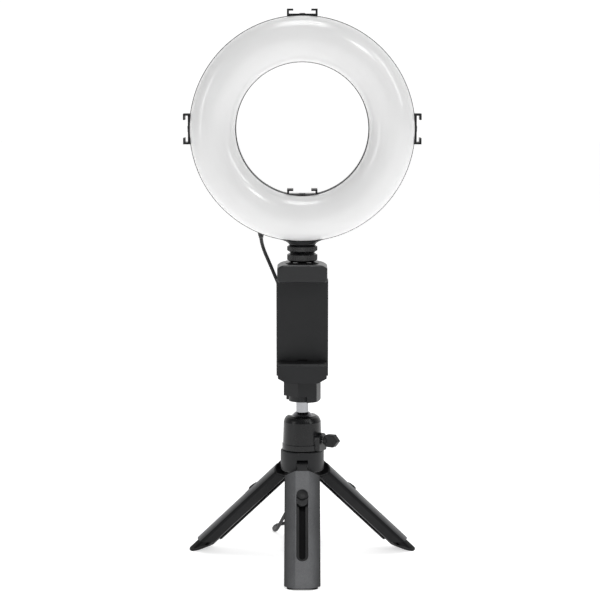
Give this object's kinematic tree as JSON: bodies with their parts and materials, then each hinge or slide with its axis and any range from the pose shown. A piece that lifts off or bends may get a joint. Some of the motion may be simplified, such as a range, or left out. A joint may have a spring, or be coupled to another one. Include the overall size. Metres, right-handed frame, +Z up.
{
  "type": "ring light",
  "caption": "Small ring light on a ball-head table tripod with telescoping legs, a sprung phone holder and accessory shoes round the ring.",
  "frame": {"origin": "middle of the bottom of the standing light, cord left out", "axes": "+Z up, -Y towards the side that the light faces, +X to its right as the camera sees it"},
  "size_m": [0.167, 0.2019, 0.3957],
  "materials": {
    "satin_black": "satin",
    "grey_metal": "grainy satin",
    "black_metal": "satin",
    "bright_chrome": "polished",
    "steel": "brushed",
    "brass": "turned",
    "black_rubber": "matte",
    "white_diffuser": "glossy",
    "circuit_board": "satin",
    "led_phosphor": "satin",
    "cord_sheath": "matte",
    "plug_metal": "plain"
  },
  "bodies": {
    "hub": {"hub_collar": "satin_black", "leg_hinge_pins": "steel", "swivel_screw": "steel", "cord_tube": "cord_sheath", "cord_hank": "cord_sheath", "hank_tie": "cord_sheath", "plug_shell": "cord_sheath", "plug_contact": "plug_metal"},
    "leg_front_outer": {"leg_front_shell": "grey_metal", "leg_front_root": "satin_black"},
    "leg_front_foot": {"leg_front_inner": "satin_black", "leg_front_sole": "black_rubber", "leg_front_slider": "satin_black"},
    "leg_front_release": {"leg_front_button": "satin_black"},
    "leg_left_outer": {"leg_left_shell": "grey_metal", "leg_left_root": "satin_black"},
    "leg_left_foot": {"leg_left_inner": "satin_black", "leg_left_sole": "black_rubber", "leg_left_slider": "satin_black"},
    "leg_left_release": {"leg_left_button": "satin_black"},
    "leg_right_outer": {"leg_right_shell": "grey_metal", "leg_right_root": "satin_black"},
    "leg_right_foot": {"leg_right_inner": "satin_black", "leg_right_sole": "black_rubber", "leg_right_slider": "satin_black"},
    "leg_right_release": {"leg_right_button": "satin_black"},
    "head": {"ball_housing": "satin_black", "housing_base": "satin_black", "pressure_cup": "satin_black"},
    "knob": {"lock_knob": "satin_black", "lock_screw": "steel"},
    "ball_stem": {"ball": "bright_chrome", "ball_stud": "bright_chrome"},
    "platform": {"platform_nut": "satin_black"},
    "holder": {"holder_frame": "satin_black", "lower_insert": "brass", "lower_grip": "black_rubber", "holder_springs": "steel"},
    "jaw": {"upper_jaw": "satin_black", "upper_grip": "black_rubber", "guide_rods": "steel", "jaw_tongue": "satin_black", "clamp_shoe": "black_metal", "shoe_adapter": "black_metal"},
    "lower_nut": {"lower_lock_nut": "black_metal"},
    "upper_nut": {"upper_lock_nut": "black_metal"},
    "ring": {"ring_housing": "satin_black", "neck_insert": "brass", "diffuser": "white_diffuser", "led_board": "circuit_board", "leds": "led_phosphor", "cold_shoes": "black_metal", "shoe_screws": "steel", "housing_screws": "steel", "cable_gland": "satin_black"},
    "power": {"power_button": "satin_black"},
    "brighter": {"brighter_button": "satin_black"},
    "dimmer": {"dimmer_button": "satin_black"}
  },
  "joints": [
    {"name": "leg_front_fold", "type": "hinge", "parent": "hub", "child": "leg_front_outer", "pos_m": [0, 0.00211, 0.07339], "axis": [-1, 0, 0], "range_deg": [-41.07, 6.43]},
    {"name": "leg_front_extend", "type": "slide", "parent": "leg_front_outer", "child": "leg_front_foot", "axis": [0, -0.657, -0.7539], "range_m": [0, 0.042]},
    {"name": "leg_front_press", "type": "slide", "parent": "leg_front_foot", "child": "leg_front_release", "axis": [0, 0.7539, -0.657], "range_m": [0, 0.0008], "stiffness_N_per_m": 600, "springref_m": -0.001},
    {"name": "leg_left_fold", "type": "hinge", "parent": "hub", "child": "leg_left_outer", "pos_m": [-0.00909, 0.01786, 0.07339], "axis": [0.5, 0.866, 0], "range_deg": [-47.5, 0]},
    {"name": "leg_left_extend", "type": "slide", "parent": "leg_left_outer", "child": "leg_left_foot", "axis": [-0.6385, 0.3686, -0.6756], "range_m": [-0.011, 0.031]},
    {"name": "leg_left_press", "type": "slide", "parent": "leg_left_foot", "child": "leg_left_release", "axis": [0.5851, -0.3378, -0.7373], "range_m": [0, 0.0008], "stiffness_N_per_m": 600, "springref_m": -0.001},
    {"name": "leg_right_fold", "type": "hinge", "parent": "hub", "child": "leg_right_outer", "pos_m": [0.00909, 0.01786, 0.07339], "axis": [0.5, -0.866, 0], "range_deg": [-47.5, 0]},
    {"name": "leg_right_extend", "type": "slide", "parent": "leg_right_outer", "child": "leg_right_foot", "axis": [0.6385, 0.3686, -0.6756], "range_m": [-0.011, 0.031]},
    {"name": "leg_right_press", "type": "slide", "parent": "leg_right_foot", "child": "leg_right_release", "axis": [-0.5851, -0.3378, -0.7373], "range_m": [0, 0.0008], "stiffness_N_per_m": 600, "springref_m": -0.001},
    {"name": "head_swivel", "type": "hinge", "parent": "hub", "child": "head", "pos_m": [0, 0.01261, 0.08399], "axis": [0, 0, 1], "continuous": true},
    {"name": "lock_knob_turn", "type": "hinge", "parent": "head", "child": "knob", "pos_m": [0.01732, 0.00261, 0.09169], "axis": [0.866, -0.5, 0], "continuous": true},
    {"name": "ball_tilt", "type": "hinge", "parent": "head", "child": "ball_stem", "pos_m": [0, 0.01261, 0.10359], "axis": [0.5, 0.866, 0], "range_deg": [-90, 22], "deforming": ["cord_tube"]},
    {"name": "platform_nut_turn", "type": "hinge", "parent": "ball_stem", "child": "platform", "pos_m": [0, 0.01261, 0.11879], "axis": [0, 0, 1], "continuous": true},
    {"name": "holder_turn", "type": "hinge", "parent": "ball_stem", "child": "holder", "pos_m": [0, 0.01261, 0.13409], "axis": [0, 0, 1], "continuous": true},
    {"name": "jaw_slide", "type": "slide", "parent": "holder", "child": "jaw", "axis": [0, 0, 1], "range_m": [0, 0.027], "stiffness_N_per_m": 150, "springref_m": -0.03, "deforming": ["holder_springs"]},
    {"name": "lower_nut_turn", "type": "hinge", "parent": "jaw", "child": "lower_nut", "pos_m": [0, 0.01261, 0.21839], "axis": [0, 0, 1], "continuous": true},
    {"name": "upper_nut_turn", "type": "hinge", "parent": "jaw", "child": "upper_nut", "pos_m": [0, 0.01261, 0.22509], "axis": [0, 0, 1], "continuous": true},
    {"name": "ring_turn", "type": "hinge", "parent": "jaw", "child": "ring", "pos_m": [0, 0.01261, 0.23089], "axis": [0, 0, 1], "continuous": true},
    {"name": "power_press", "type": "slide", "parent": "ring", "child": "power", "axis": [0, -1, 0], "range_m": [0, 0.0008], "stiffness_N_per_m": 600, "springref_m": -0.001},
    {"name": "brighter_press", "type": "slide", "parent": "ring", "child": "brighter", "axis": [0, -1, 0], "range_m": [0, 0.0008], "stiffness_N_per_m": 600, "springref_m": -0.001},
    {"name": "dimmer_press", "type": "slide", "parent": "ring", "child": "dimmer", "axis": [0, -1, 0], "range_m": [0, 0.0008], "stiffness_N_per_m": 600, "springref_m": -0.001}
  ]
}
